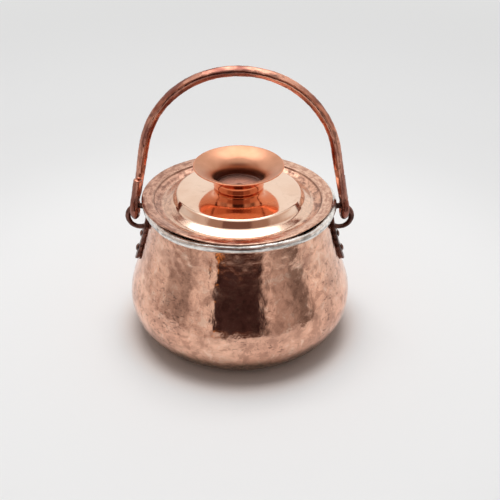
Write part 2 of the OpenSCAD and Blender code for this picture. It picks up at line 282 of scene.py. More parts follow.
def mesh_object(name, points, faces):
    """A smooth-shaded object from points in millimetres."""
    mesh = bpy.data.meshes.new(name)
    mesh.from_pydata((points * MM).tolist(), [], faces)
    mesh.validate()
    mesh.update()
    mesh.shade_smooth()
    obj = bpy.data.objects.new(name, mesh)
    bpy.context.scene.collection.objects.link(obj)
    return obj


def grid_faces(rows, columns):
    """Quads of a grid that closes on itself round each row."""
    r, c = np.meshgrid(np.arange(rows - 1), np.arange(columns), indexing="ij")
    a = r * columns + c
    b = r * columns + (c + 1) % columns
    return np.stack([a, b, b + columns, a + columns], -1).reshape(-1, 4).tolist()


def closed_faces(rows, columns):
    """The same with both ends shut, each by a fan to a point that comes after the grid's own."""
    faces = grid_faces(rows, columns)
    count = rows * columns
    last = count - columns
    for c in range(columns):
        d = (c + 1) % columns
        faces.append([count, d, c])
        faces.append([count + 1, last + c, last + d])
    return faces


def turned(name, path, columns, relief):
    """A closed piece turned from a path that starts and ends on the axis.

    relief(points, normals, rows) gives the moved points, so that it can hammer or bend them.
    """
    inner = path[1:-1]
    normals = -path_normals(path)[1:-1]
    angles = np.linspace(0, 2 * math.pi, columns, endpoint=False)
    cos, sin = np.cos(angles), np.sin(angles)

    def spun(values):
        r, z = values[:, 0], values[:, 1]
        rings = [np.outer(r, cos), np.outer(r, sin), np.outer(z, np.ones(columns))]
        return np.stack(rings, -1).reshape(-1, 3)

    rows = np.repeat(np.arange(len(inner)), columns)
    points = relief(spun(inner), spun(normals), rows)
    first = points[:columns].mean(0) * (0, 0, 1)
    last = points[-columns:].mean(0) * (0, 0, 1)
    return mesh_object(name, np.vstack([points, first, last]), closed_faces(len(inner), columns))


def swept(path, radius, columns, square, roll):
    """Points and faces of a bar along a path, with a section between round and square.

    square is 0 for a round section and more for a squarer one, and roll turns it, in radians.
    """
    path = np.asarray(path, float)
    along = np.gradient(path, axis=0)
    along /= np.linalg.norm(along, axis=1)[:, None]
    side = np.cross(along[0], (0.0, 1.0, 0.0))
    if np.linalg.norm(side) < 0.2:
        side = np.cross(along[0], (1.0, 0.0, 0.0))
    sides = []
    for t in along:
        side = side - np.dot(side, t) * t
        side = side / np.linalg.norm(side)
        sides.append(side)
    sides = np.array(sides)
    ups = np.cross(along, sides)
    angles = np.linspace(0, 2 * math.pi, columns, endpoint=False)
    radius = np.broadcast_to(radius, len(path))
    roll = np.broadcast_to(roll, len(path))
    power = 2 + square
    reach = (np.abs(np.cos(angles)) ** power + np.abs(np.sin(angles)) ** power) ** (-1 / power)
    reach = reach / reach.mean()
    rings = []
    for i in range(len(path)):
        a = angles + roll[i]
        outward = np.cos(a)[:, None] * sides[i] + np.sin(a)[:, None] * ups[i]
        rings.append(path[i] + radius[i] * reach[:, None] * outward)
    points = np.concatenate(rings)
    caps = [path[0] - along[0] * radius[0] * 0.25, path[-1] + along[-1] * radius[-1] * 0.25]
    return np.vstack([points, caps]), closed_faces(len(path), columns)


def joined(*parts):
    """Several sets of points and faces as one."""
    points, faces = [], []
    offset = 0
    for p, f in parts:
        points.append(p)
        faces += [[i + offset for i in face] for face in f]
        offset += len(p)
    return np.vstack(points), faces


def remeshed(obj, voxel, rounds):
    """The object's solids fused into one skin of small faces, and smoothed."""
    remesh = obj.modifiers.new("remesh", "REMESH")
    remesh.mode = "VOXEL"
    remesh.voxel_size = voxel * MM
    remesh.use_smooth_shade = True
    ease = obj.modifiers.new("ease", "SMOOTH")
    ease.factor = 0.5
    ease.iterations = rounds
    graph = bpy.context.evaluated_depsgraph_get()
    mesh = bpy.data.meshes.new_from_object(obj.evaluated_get(graph))
    obj.modifiers.clear()
    old = obj.data
    obj.data = mesh
    mesh.name = obj.name
    bpy.data.meshes.remove(old)
    mesh.shade_smooth()


def coordinates(obj):
    """The object's vertices in millimetres."""
    values = np.zeros(len(obj.data.vertices) * 3)
    obj.data.vertices.foreach_get("co", values)
    return values.reshape(-1, 3) / MM


def vertex_normals(obj):
    values = np.zeros(len(obj.data.vertices) * 3)
    obj.data.vertices.foreach_get("normal", values)
    return values.reshape(-1, 3)


def move_vertices(obj, points):
    obj.data.vertices.foreach_set("co", (points * MM).ravel())
    obj.data.update()


def kept_inside(obj):
    """The piece scaled a little, where its unevenness would reach past the solids' box."""
    points = coordinates(obj)
    reach = np.max(points, 0)
    reach[:2] = np.max(np.abs(points[:, :2]), 0)
    room = np.array(cad_high) / MM - BOX_MARGIN
    points *= np.minimum(1.0, room / reach)
    move_vertices(obj, points)


def mark_vertices(obj, name, values):
    """A number from 0 to 1 on each vertex, for the material to read."""
    layer = obj.data.attributes.new(name, "FLOAT", "POINT")
    layer.data.foreach_set("value", np.asarray(values, np.float32))


def hammered(obj, spacing, radius, depth, seed, wobble, wobble_size):
    """Small hammer marks all over a forged piece, and a slow unevenness of the size given last."""
    random = np.random.default_rng(seed)
    points = coordinates(obj)
    normals = vertex_normals(obj)
    chosen = random.permutation(len(points))
    taken = KDTree(len(points))
    for i, p in enumerate(points):
        taken.insert(p, i)
    taken.balance()
    free = np.ones(len(points), bool)
    centres = []
    for i in chosen:
        if free[i]:
            centres.append(points[i])
            for _, j, _ in taken.find_range(points[i], spacing):
                free[j] = False
    strengths = random.uniform(0.35, 1.0, len(centres)) * depth
    marks = hammer_marks(points, centres, radius, strengths)
    shift = wobble * wave(points, wobble_size, seed) - marks
    move_vertices(obj, points + normals * shift[:, None])


# Node graphs

class Graph:
    """A material's or world's nodes, added by name."""

    def __init__(self, owner):
        owner.use_nodes = True
        self.tree = owner.node_tree
        self.tree.nodes.clear()

    def add(self, kind, settings=None, **sockets):
        """A node, with its settings and with what goes into its sockets, by name."""
        made = self.tree.nodes.new("ShaderNode" + kind)
        for key, value in (settings or {}).items():
            setattr(made, key, value)
        for key, value in sockets.items():
            self.put(made.inputs[key.replace("_", " ")], value)
        return made

    def put(self, socket, value):
        """Links another node's socket into this one, or writes a plain value there."""
        if isinstance(value, bpy.types.NodeSocket):
            self.tree.links.new(value, socket)
        else:
            socket.default_value = value

    def math(self, operation, a, b=0.0):
        made = self.tree.nodes.new("ShaderNodeMath")
        made.operation = operation
        self.put(made.inputs[0], a)
        self.put(made.inputs[1], b)
        return made.outputs[0]

    def mix(self, factor, a, b):
        """Colour a where the factor is 0, and colour b where it is 1."""
        made = self.tree.nodes.new("ShaderNodeMix")
        made.data_type = "RGBA"
        self.put(made.inputs[0], factor)
        self.put(made.inputs[6], a)
        self.put(made.inputs[7], b)
        return made.outputs[2]

    def remap(self, value, low, high, to_low=0.0, to_high=1.0):
        """The value taken smoothly from low and high to the other two numbers."""
        made = self.tree.nodes.new("ShaderNodeMapRange")
        made.interpolation_type = "SMOOTHSTEP"
        self.put(made.inputs[0], value)
        for i, number in enumerate((low, high, to_low, to_high)):
            self.put(made.inputs[i + 1], number)
        return made.outputs[0]

    def noise(self, place, scale, detail=3.0, rough=0.55, distortion=0.0):
        made = self.add("TexNoise", Vector=place, Scale=scale, Detail=detail, Roughness=rough)
        made.inputs["Distortion"].default_value = distortion
        return made.outputs[0]

    def place(self, stretch=(1.0, 1.0, 1.0)):
        """Places on the object as it was made, so that marks stay on a piece that moves."""
        where = self.add("TexCoord").outputs["Object"]
        if stretch == (1.0, 1.0, 1.0):
            return where
        made = self.tree.nodes.new("ShaderNodeMapping")
        made.inputs["Scale"].default_value = stretch
        self.put(made.inputs["Vector"], where)
        return made.outputs[0]

    def attribute(self, name):
        return self.add("Attribute", {"attribute_name": name}).outputs["Fac"]

    def bump(self, height, strength, distance, under=None):
        made = self.add("Bump", Height=height, Strength=strength, Distance=distance)
        if under is not None:
            self.put(made.inputs["Normal"], under)
        return made.outputs[0]

    def length(self, a, b):
        """The length of a flat vector from its two parts."""
        return self.math("SQRT", self.math("ADD", self.math("MULTIPLY", a, a), self.math("MULTIPLY", b, b)))

    def split(self, place):
        return self.add("SeparateXYZ", Vector=place).outputs

    def rings(self, pull):
        """Places for marks that run round the pot's axis, long for a small pull, and the radius."""
        x, y, z = self.split(self.place())
        angle = self.math("MULTIPLY", self.math("ARCTAN2", y, x), pull)
        radius = self.length(x, y)
        return self.add("CombineXYZ", X=angle, Y=radius, Z=z).outputs[0], radius

    def output(self, shader, kind="OutputMaterial"):
        out = self.add(kind)
        self.put(out.inputs["Surface"], shader.outputs[0])


def new_material(name):
    material = bpy.data.materials.new(name)
    return material, Graph(material)


def finish_metal(graph, color, roughness, normal):
    shader = graph.add("BsdfPrincipled", Base_Color=color, Roughness=roughness, Normal=normal)
    shader.inputs["Metallic"].default_value = 1.0
    graph.output(shader)


def body_material():
    """Planished copper with a tinned rim and inside, dark pits, and tarnish towards the base."""
    material, g = new_material("hammered_copper")
    where = g.place()
    height = g.split(where)[2]

    # Copper in broad shades, with patches and blotches
    broad = g.noise(where, 14.0, 3.0, 0.6)
    patch = g.noise(g.place((1.0, 1.0, 1.6)), 46.0, 5.0, 0.62, 0.4)
    fine = g.noise(where, 210.0, 4.0, 0.6)
    copper = g.mix(g.remap(broad, 0.3, 0.7), (0.95, 0.57, 0.41, 1), (0.84, 0.46, 0.325, 1))
    copper = g.mix(g.remap(patch, 0.47, 0.68, 0.0, 0.65), copper, (0.52, 0.28, 0.20, 1))
    copper = g.mix(g.remap(fine, 0.44, 0.68, 0.0, 0.2), copper, (0.42, 0.23, 0.17, 1))
    blotch = g.noise(where, 95.0, 5.0, 0.7, 0.5)
    copper = g.mix(g.remap(blotch, 0.49, 0.63, 0.0, 0.7), copper, (0.45, 0.23, 0.16, 1))
    copper = g.mix(g.remap(blotch, 0.45, 0.35, 0.0, 0.65), copper, (0.98, 0.68, 0.52, 1))

    # Dark pits in loose clusters, except on the lowest part
    pits = g.noise(g.place((0.8, 0.8, 1.7)), 300.0, 4.0, 0.62, 0.4)
    cluster = g.remap(g.noise(where, 22.0, 3.0, 0.55), 0.45, 0.66)
    pit = g.remap(g.math("ADD", pits, g.math("MULTIPLY", cluster, 0.13)), 0.665, 0.745)
    pit = g.math("MULTIPLY", pit, g.remap(height, 0.020, 0.036))
    copper = g.mix(g.math("MULTIPLY", cluster, 0.3), copper, (0.50, 0.27, 0.20, 1))
    copper = g.mix(g.math("MULTIPLY", pit, 0.75), copper, (0.20, 0.10, 0.07, 1))

    # Tarnish with an uneven edge towards the base, and dark scars low on the side
    edge = g.math("ADD", height, g.math("MULTIPLY", g.math("SUBTRACT", patch, 0.5), 0.028))
    tarnish = g.remap(edge, 0.032, 0.014)
    grey = g.mix(g.remap(fine, 0.35, 0.65), (0.19, 0.145, 0.10, 1), (0.36, 0.24, 0.165, 1))
    copper = g.mix(g.math("MULTIPLY", tarnish, 0.95), copper, grey)
    low = g.math("ABSOLUTE", g.math("SUBTRACT", height, 0.0145))
    scars = g.math("MULTIPLY", g.remap(low, 0.008, 0.002), g.remap(pits, 0.53, 0.62, 0.0, 0.9))
    copper = g.mix(scars, copper, (0.10, 0.055, 0.04, 1))

    # Tin with grime on it, and scratches that run round the axis
    tin_noise = g.noise(g.place((1.0, 1.0, 2.5)), 120.0, 4.0, 0.65)
    tin_edge = g.math("MULTIPLY", g.math("SUBTRACT", tin_noise, 0.5), 0.9)
    tin = g.remap(g.math("ADD", g.attribute("tin"), tin_edge), 0.42, 0.58)
    silver = g.mix(g.remap(tin_noise, 0.35, 0.7), (0.95, 0.93, 0.90, 1), (0.70, 0.68, 0.65, 1))
    grime = g.remap(g.noise(where, 90.0, 4.0, 0.7), 0.52, 0.70, 0.0, 0.65)
    silver = g.mix(grime, silver, (0.24, 0.21, 0.18, 1))
    scratches = g.remap(g.noise(g.rings(0.02)[0], 330.0, 3.0, 0.6), 0.46, 0.62, 0.0, 0.65)
    silver = g.mix(scratches, silver, (0.26, 0.24, 0.22, 1))
    color = g.mix(tin, copper, silver)

    # Satin where it is tarnished, pitted or tinned, and small dents all over
    rough = g.remap(patch, 0.35, 0.75, 0.06, 0.20)
    rough = g.math("ADD", rough, g.math("MULTIPLY", tarnish, 0.2))
    rough = g.math("ADD", rough, g.math("MULTIPLY", pit, 0.05))
    rough = g.math("ADD", rough, g.math("MULTIPLY", tin, 0.12))
    small = g.noise(g.place((1.3, 1.3, 1.0)), 115.0, 4.0, 0.6)
    normal = g.bump(small, 0.36, 0.0006)
    normal = g.bump(pit, 0.06, -0.0001, normal)
    normal = g.bump(fine, 0.10, 0.0002, normal)
    finish_metal(g, color, rough, normal)
    return material


def lid_material():
    """Polished copper with turning lines, a stained hammered channel, and a dull flange."""
    material, g = new_material("polished_lid")
    where = g.place()
    rings, _ = g.rings(0.02)
    worked = g.attribute("worked")
    flange = g.attribute("flange")

    # Polished copper with smears
    broad = g.noise(where, 26.0, 3.0, 0.55)
    smear = g.noise(where, 75.0, 4.0, 0.6, 0.6)
    color = g.mix(g.remap(broad, 0.35, 0.65), (0.90, 0.68, 0.54, 1), (0.84, 0.60, 0.46, 1))
    color = g.mix(g.remap(smear, 0.55, 0.8, 0.0, 0.35), color, (0.50, 0.28, 0.20, 1))

    # The dull mottled flange, with painted shade that darkens it towards the left
    side = g.remap(g.split(where)[0], 0.05, -0.07)
    mottle = g.noise(where, 170.0, 4.0, 0.65, 0.5)
    streaks = g.noise(rings, 380.0, 3.0, 0.6)
    uneven = g.math("MULTIPLY", g.math("ADD", mottle, streaks), 0.5)
    clear = g.mix(side, (0.80, 0.51, 0.38, 1), (0.66, 0.37, 0.27, 1))
    murky = g.mix(side, (0.48, 0.24, 0.165, 1), (0.29, 0.12, 0.08, 1))
    dull = g.mix(g.remap(uneven, 0.40, 0.60), clear, murky)
    color = g.mix(g.math("MULTIPLY", flange, 0.9), color, dull)

    # The stained channel, and a dark line at the step: painted shade in the step's crease, with dirt in it
    # The channel's bare colour takes the same painted shade towards the left
    unstained = g.mix(side, (0.76, 0.43, 0.30, 1), clear)
    stain = g.mix(g.remap(uneven, 0.42, 0.62), unstained, (0.24, 0.10, 0.07, 1))
    color = g.mix(g.math("MULTIPLY", worked, 0.9), color, stain)
    step_shade_and_dirt = g.math("MULTIPLY", g.attribute("step_shade_and_dirt"), g.remap(smear, 0.3, 0.6, 0.45, 0.85))
    color = g.mix(step_shade_and_dirt, color, (0.17, 0.075, 0.05, 1))

    # Satin where it is worked, with turning lines, grain and small dents
    rough = g.remap(smear, 0.3, 0.75, 0.07, 0.16)
    rough = g.math("ADD", rough, g.math("MULTIPLY", worked, 0.2))
    rough = g.math("ADD", rough, g.math("MULTIPLY", flange, 0.12))
    lines = g.noise(rings, 900.0, 2.0, 0.5)
    fine = g.noise(where, 420.0, 3.0, 0.6)
    normal = g.bump(lines, 0.05, 0.0001)
    normal = g.bump(fine, 0.05, 0.0001, normal)
    normal = g.bump(g.math("MULTIPLY", mottle, worked), 0.4, 0.0006, normal)
    normal = g.bump(g.math("MULTIPLY", mottle, flange), 0.2, 0.0004, normal)
    finish_metal(g, color, rough, normal)
    return material


def along_arch(g):
    """Places for marks that are drawn out along the bail's arch."""
    x, y, z = g.split(g.place())
    rise = g.math("SUBTRACT", z, ARCH_HEIGHT * MM)
    angle = g.math("MULTIPLY", g.math("ARCTAN2", x, rise), 0.03)
    return g.add("CombineXYZ", X=angle, Y=y, Z=g.length(x, rise)).outputs[0]


def forged_material(name, colors, rough, darker_low=0.0, arched=False):
    """Forged copper with fire scale in the hollows, bare metal on the high spots, and darker low down.

    colors are the bare metal's, the dull metal's and the scale's, and rough is the range of the roughness.
    """
    light, dark, stain = colors
    material, g = new_material(name)
    where = along_arch(g) if arched else g.place()
    broad = g.noise(where, 55.0, 4.0, 0.6, 0.3)
    scale = g.noise(where, 190.0, 4.0, 0.65, 0.3)
    fine = g.noise(where, 620.0, 3.0, 0.6)
    color = g.mix(g.remap(broad, 0.38, 0.60), light, dark)
    color = g.mix(g.remap(scale, 0.52, 0.72, 0.0, 0.8), color, stain)
    worn = g.remap(g.add("NewGeometry").outputs["Pointiness"], 0.51, 0.58, 0.0, 0.55)
    color = g.mix(worn, color, light)
    height = g.split(g.place())[2]
    # Darker low down on the piece, by height
    color = g.mix(g.remap(height, 0.175, 0.125, 0.0, darker_low), color, dark)
    roughness = g.remap(scale, 0.35, 0.7, *rough)
    normal = g.bump(scale, 0.22, 0.0005)
    normal = g.bump(fine, 0.12, 0.00015, normal)
    finish_metal(g, color, roughness, normal)
    return material


# The camera comes first

def make_camera():
    data = bpy.data.cameras.new("camera")
    data.lens = CAMERA_LENS
    data.sensor_width = CAMERA_SENSOR
    data.shift_x = CAMERA_SHIFT
    data.clip_start = 0.01
    camera = bpy.data.objects.new("camera", data)
    camera.location = CAMERA_PLACE
    camera.rotation_euler = (math.radians(90 - CAMERA_PITCH), 0.0, 0.0)
    bpy.context.scene.collection.objects.link(camera)
    bpy.context.scene.camera = camera


# The pot body

def body_path():
    """The body's closed section from the axis, out and up the outside, over the bead and back inside.

    Gives the section, its outside part, and the counts of points on the outside and on the bead.
    """
    middle = BELLY_RADIUS - LOWER_ROUND
    crease = math.asin((BELLY_HEIGHT - CREASE_HEIGHT) / LOWER_ROUND)
    crease_radius = middle + LOWER_ROUND * math.cos(crease)
    half_width = (BEAD_RADIUS - (NECK_RADIUS - WALL - BEAD_PROUD)) / 2
    bead_middle = BEAD_RADIUS - half_width
    half_height = BEAD_HEIGHT / 2
    bead_height = RIM_HEIGHT - half_height
    start = -math.acos((NECK_RADIUS - bead_middle) / half_width)
    join = bead_height + half_height * math.sin(start)
    base = cubic(
        (BASE_RADIUS, 0),
        (BASE_RADIUS + BASE_EASE, 0),
        (crease_radius - CREASE_HEIGHT * 0.72, CREASE_HEIGHT * 0.2),
        (crease_radius - CREASE_DEPTH * math.cos(crease), CREASE_HEIGHT + CREASE_DEPTH * math.sin(crease)),
        24,
    )
    a = crease * (1 - np.arange(1, 49) / 48)
    belly = np.stack([middle + LOWER_ROUND * np.cos(a), BELLY_HEIGHT - LOWER_ROUND * np.sin(a)], 1)
    neck = cubic(
        (BELLY_RADIUS, BELLY_HEIGHT),
        (BELLY_RADIUS, BELLY_HEIGHT + BELLY_FULLNESS),
        SHOULDER,
        (NECK_RADIUS, join),
        64,
        1,
    )
    flat = [(0, 0), (20, 0), (40, 0), (56, 0), (64, 0)]
    outer = np.vstack([flat, resampled(np.vstack([base, belly, neck]), 1.5)])
    inner = resampled(outer + WALL * path_normals(outer), 4.0)
    inner[0, 0] = 0.0
    t = start + (math.pi - start) * np.arange(1, 25) / 24
    bead = np.stack([bead_middle + half_width * np.cos(t), bead_height + half_height * np.sin(t)], 1)
    path = np.vstack([outer, bead, inner[::-1]])
    return path, outer, len(outer), len(bead)


def azimuth_of(points):
    """Degrees round the pot from the front, positive towards +X."""
    return np.degrees(np.arctan2(points[:, 0], -points[:, 1]))


def hump(angle, centre, width):
    """A smooth rise round one direction."""
    away = (angle - centre + 180) % 360 - 180
    return np.exp(-((away / width) ** 2))


def rim_dip(points):
    """How far the hand-made rim lies below its even height, in millimetres."""
    angle = azimuth_of(points)
    front = 2.3 * hump(angle, -38, 19) + 1.6 * hump(angle, 47, 15)
    return front + 0.5 * hump(angle, -120, 16) + 0.4 * hump(angle, 160, 30)


def make_body():
    path, outer, outside_rows, bead_rows = body_path()
    random = np.random.default_rng(7)
    centres = ring_of_marks(outer[outer[:, 1] > 1.0], 7.0, random)
    strengths = random.uniform(0.06, 0.28, len(centres))

    def relief(points, normals, rows):
        outside = rows + 1 < outside_rows
        bead = (rows + 1 >= outside_rows) & (rows + 1 < outside_rows + bead_rows)
        height = points[:, 2]
        shift = np.zeros(len(points))

        # Slow unevenness between base and neck, and hammer marks outside
        slow = 0.30 * wave(points, 34.0, 3) + 0.10 * wave(points * (1, 1, 0.4), 13.0, 5)
        slow += 0.06 * wave(points, 7.0, 9)
        shift += slow * (smooth_step(height, 6.0, 26.0) * smooth_step(height, 128.0, 108.0))
        marks = np.zeros(len(points))
        marks[outside] = hammer_marks(points[outside], centres, 5.4, strengths)
        shift -= marks * smooth_step(height, 0.5, 5.0)

        # Small waves on the bead, and the whole rim drawn in a little
        shift[bead] += 0.2 * wave(points[bead], 8.0, 11)
        shift -= 0.25 * smooth_step(height, 124.0, 128.0)
        moved = points + normals * shift[:, None]
        moved[:, 2] -= rim_dip(points) * smooth_step(height, 112.0, 130.0)
        return moved

    body = turned("pot_body_hammered", path, BODY_COLUMNS, relief)
    rows = np.repeat(np.arange(len(path) - 2), BODY_COLUMNS)
    tin = smooth_step(rows + 1, outside_rows - 1.0, outside_rows + 1.5)
    mark_vertices(body, "tin", np.concatenate([tin, [0.0, 1.0]]))
    kept_inside(body)
    body.data.materials.append(body_material())
    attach(body, "pot")
    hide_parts("pot_body", "pot_foot", "pot_base")


# The lid and its knob

def sheet_path(middle, thickness):
    """A closed section round a sheet's middle line, with a rounded outer edge."""
    normals = path_normals(middle)
    below = np.unique(np.append(np.arange(0, len(middle), 3), len(middle) - 1))
    under = (middle - normals * thickness / 2)[below]
    over = middle + normals * thickness / 2
    under[0, 0] = over[0, 0] = 0.0
    end, normal = middle[-1], normals[-1]
    out = np.array([normal[1], -normal[0]])
    a = np.radians(np.arange(30, 180, 30))
    cap = end + thickness / 2 * (-np.cos(a)[:, None] * normal + np.sin(a)[:, None] * out)
    return np.vstack([under, cap, over[::-1]]), len(under) + len(cap)


def make_lid():
    middle = rounded(
        [
            (0, SEAT_HEIGHT - LID_SHEET / 2),
            (SEAT_RADIUS, SEAT_HEIGHT - LID_SHEET / 2),
            (PLATFORM_RADIUS, FLANGE_MIDDLE + PLATFORM_RISE),
            (SKIRT_TOP_RADIUS, FLANGE_MIDDLE - SKIRT_TOP_DROP),
            (CHANNEL_RADIUS, FLANGE_MIDDLE - CHANNEL_DROP),
            (STEP_RADIUS - LID_SHEET / 2, FLANGE_MIDDLE - STEP_FOOT_DROP),
            (STEP_RADIUS + LID_SHEET / 4, FLANGE_MIDDLE - STEP_TOP_DROP),
            (FLANGE_BEND, FLANGE_MIDDLE),
            (LID_RADIUS - LID_SHEET / 2, FLANGE_MIDDLE),
        ],
        (6.0, 1.4, 1.6, 3.0, 0.35, 0.5, 3.0),
        0.65,
    )
    path, _ = sheet_path(middle, LID_SHEET)
    random = np.random.default_rng(21)
    floor = FLANGE_MIDDLE - 5.4
    channel = np.array([(67.0, floor), (75.5, floor)])
    centres = ring_of_marks(channel, 4.4, random)
    strengths = random.uniform(0.12, 0.4, len(centres))
    flange = np.array([(76.5, FLANGE_MIDDLE), (LID_RADIUS, FLANGE_MIDDLE)])
    flange_centres = ring_of_marks(flange, 5.5, random)
    flange_strengths = random.uniform(0.04, 0.16, len(flange_centres))

    def relief(points, normals, rows):
        radius = np.hypot(points[:, 0], points[:, 1])
        in_channel = smooth_step(radius, 66.0, 68.5) * smooth_step(radius, 76.0, 74.0)
        on_flange = smooth_step(radius, 75.5, 78.0)
        flat = points * (1, 1, 0)
        marks = hammer_marks(flat + (0, 0, floor), centres, 3.6, strengths)
        dents = hammer_marks(flat + (0, 0, FLANGE_MIDDLE), flange_centres, 4.6, flange_strengths)
        shift = -marks * in_channel - dents * on_flange
        shift += 0.10 * wave(points, 22.0, 31) * smooth_step(radius, 20.0, 40.0)
        moved = points.copy()
        moved[:, 2] += shift
        rise = smooth_step(radius, 70.0, LID_RADIUS)
        angle = azimuth_of(points)
        lifted = 1.8 * hump(angle, -38, 20) + 1.2 * hump(angle, 49, 16)
        moved[:, 2] += rise * (lifted + 0.15 * wave(points, 30.0, 33))
        moved[:, 0] -= LID_SHIFT + FLANGE_SHIFT * smooth_step(radius, 60.0, LID_RADIUS)
        return moved

    lid = turned("lid_sheet", path, LID_COLUMNS, relief)
    points = coordinates(lid)
    radius = np.hypot(points[:, 0] + LID_SHIFT + FLANGE_SHIFT * 0.7, points[:, 1])
    angle = azimuth_of(points)
    beside = 0.35 + 0.35 * hump(angle, -110, 65)
    beside *= 1 - hump(angle, 0, 48)
    skirt = smooth_step(radius, 57.5, 59.0) * beside
    worked = np.maximum(smooth_step(radius, 66.3, 68.3), skirt) * smooth_step(radius, 75.6, 74.6)
    mark_vertices(lid, "worked", worked)
    mark_vertices(lid, "flange", smooth_step(radius, 74.6, 75.6))
    # A narrow band at the step, for the painted shade and dirt in its crease
    mark_vertices(lid, "step_shade_and_dirt", np.exp(-(((radius - 74.5) / 0.6) ** 2)))
    lid.data.materials.append(lid_material())
    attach(lid, "pot")
    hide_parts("lid")


def make_knob():
    corner = (KNOB_FOOT - KNOB_SHEET / 2, SEAT_HEIGHT + KNOB_SHEET / 2)
    rim = (KNOB_RADIUS - KNOB_SHEET / 2, SEAT_HEIGHT + KNOB_HEIGHT - KNOB_SHEET / 2)
    start = (corner[0], corner[1] + KNOB_BEND)
    upright = (start[0], start[1] + KNOB_STRAIGHT)
    flare = cubic(start, upright, (rim[0] - KNOB_FLARE, rim[1] - KNOB_FLARE / 3), rim, 30)
    foot = rounded([(0, corner[1]), corner, start], (1.6,), 0.5)
    middle = resampled(np.vstack([foot, flare[1:]]), 0.6)
    path, outside_rows = sheet_path(middle, KNOB_SHEET)

    def relief(points, normals, rows):
        high = smooth_step(points[:, 2], SEAT_HEIGHT + 8, SEAT_HEIGHT + 21)
        moved = points + normals * (0.06 * wave(points, 14.0, 41))[:, None] * high[:, None]
        moved[:, 2] += (0.2 * wave(points * (1, 1, 0), 26.0, 43) - 0.3) * high
        moved[:, 0] -= LID_SHIFT
        return moved

    knob = turned("lid_knob_spun", path, KNOB_COLUMNS, relief)
    rows = np.repeat(np.arange(len(path) - 2), KNOB_COLUMNS)
    cup = smooth_step(rows + 1, outside_rows - 4, outside_rows + 2)
    mark_vertices(knob, "cup", np.concatenate([cup, [0.0, 1.0]]))
    knob.data.materials.append(knob_material())
    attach(knob, "pot")
    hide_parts("lid_knob")


def knob_material():
    """Spun copper, bright outside and satin inside the cup, with a dull mottled floor."""
    material, g = new_material("spun_copper")
    where = g.place()
    height = g.split(where)[2]
    rings, radius = g.rings(0.015)
    cup = g.attribute("cup")
    broad = g.noise(where, 40.0, 3.0, 0.55)
    mottle = g.noise(where, 150.0, 4.0, 0.65, 0.5)
    lines = g.noise(rings, 800.0, 2.0, 0.6)
    bright = g.mix(g.remap(broad, 0.35, 0.65), (0.86, 0.34, 0.19, 1), (0.80, 0.28, 0.14, 1))
    satin = g.mix(g.remap(broad, 0.35, 0.65), (0.62, 0.30, 0.185, 1), (0.53, 0.25, 0.145, 1))
    floor = g.mix(g.remap(mottle, 0.35, 0.65), (0.66, 0.42, 0.35, 1), (0.48, 0.29, 0.24, 1))
    low = g.remap(height, (SEAT_HEIGHT + 3.0) * MM, (SEAT_HEIGHT + 1.4) * MM)
    satin = g.mix(low, satin, floor)

    # Painted shade low on the cup's wall, just above its floor
    foot = g.remap(height, (SEAT_HEIGHT + 10.0) * MM, (SEAT_HEIGHT + 4.0) * MM)
    wall = g.remap(radius, 0.0195, 0.0208)
    painted_cup_shade = g.math("MULTIPLY", g.math("MULTIPLY", foot, wall), 0.95)
    satin = g.mix(painted_cup_shade, satin, (0.07, 0.022, 0.014, 1))

    color = g.mix(cup, bright, satin)
    rough = g.math("ADD", g.remap(mottle, 0.3, 0.7, 0.06, 0.13), g.math("MULTIPLY", cup, 0.24))
    normal = g.bump(lines, 0.12, 0.00012)
    normal = g.bump(g.math("MULTIPLY", mottle, cup), 0.15, 0.0002, normal)
    finish_metal(g, color, rough, normal)
    return material


# Forged parts

def neck_radius_at(height):
    """The outer radius of the neck at a height."""
    belly = (BELLY_RADIUS, BELLY_HEIGHT)
    pull = (BELLY_RADIUS, BELLY_HEIGHT + BELLY_FULLNESS)
    neck = cubic(belly, pull, SHOULDER, (NECK_RADIUS, NECK_TOP), 64)
    return np.interp(height, neck[:, 1], neck[:, 0])


def strap_slab():
    """Points and faces of the strap, wrapped on the neck at +X, with softened edges."""
    widest = STRAP_WIDTH / 2
    heights = np.concatenate([
        STRAP_BOTTOM + widest * (1 - np.cos(np.radians(np.arange(4, 91, 6)))),
        np.arange(STRAP_BOTTOM + widest + 1.0, STRAP_TOP, 1.0),
    ])
    half = np.where(
        heights < STRAP_BOTTOM + widest,
        np.sqrt(np.maximum(widest ** 2 - (heights - STRAP_BOTTOM - widest) ** 2, 0.01)),
        widest,
    )
    narrow = smooth_step(heights, STRAP_SHOULDER, STRAP_TOP)
    half = half * (1 - narrow) + HOOK_ROD / 2 * narrow
    half = half + 0.35 * np.sin(heights * 0.9) * smooth_step(heights, 74.0, 82.0) * (1 - narrow)
    rings = []
    for z, h in zip(heights, half):
        soft = min(0.9, h * 0.6)
        section = [
            (0.0, -h), (STRAP_THICKNESS - soft, -h), (STRAP_THICKNESS - 0.25 * soft, -h + 0.35 * soft),
            (STRAP_THICKNESS, -h + soft), (STRAP_THICKNESS + 0.15, 0.0), (STRAP_THICKNESS, h - soft),
            (STRAP_THICKNESS - 0.25 * soft, h - 0.35 * soft), (STRAP_THICKNESS - soft, h), (0.0, h),
            (0.0, 0.0),
        ]
        r = neck_radius_at(z)
        for out, across in section:
            a = across / (r + STRAP_THICKNESS)
            rings.append(((r + out) * math.cos(a), (r + out) * math.sin(a), z))
    points = np.array(rings)
    columns = len(section)
    low = points[:columns].mean(0) - (0, 0, 0.2)
    high = points[-columns:].mean(0) + (0, 0, 0.6)
    return np.vstack([points, low, high]), closed_faces(len(heights), columns)


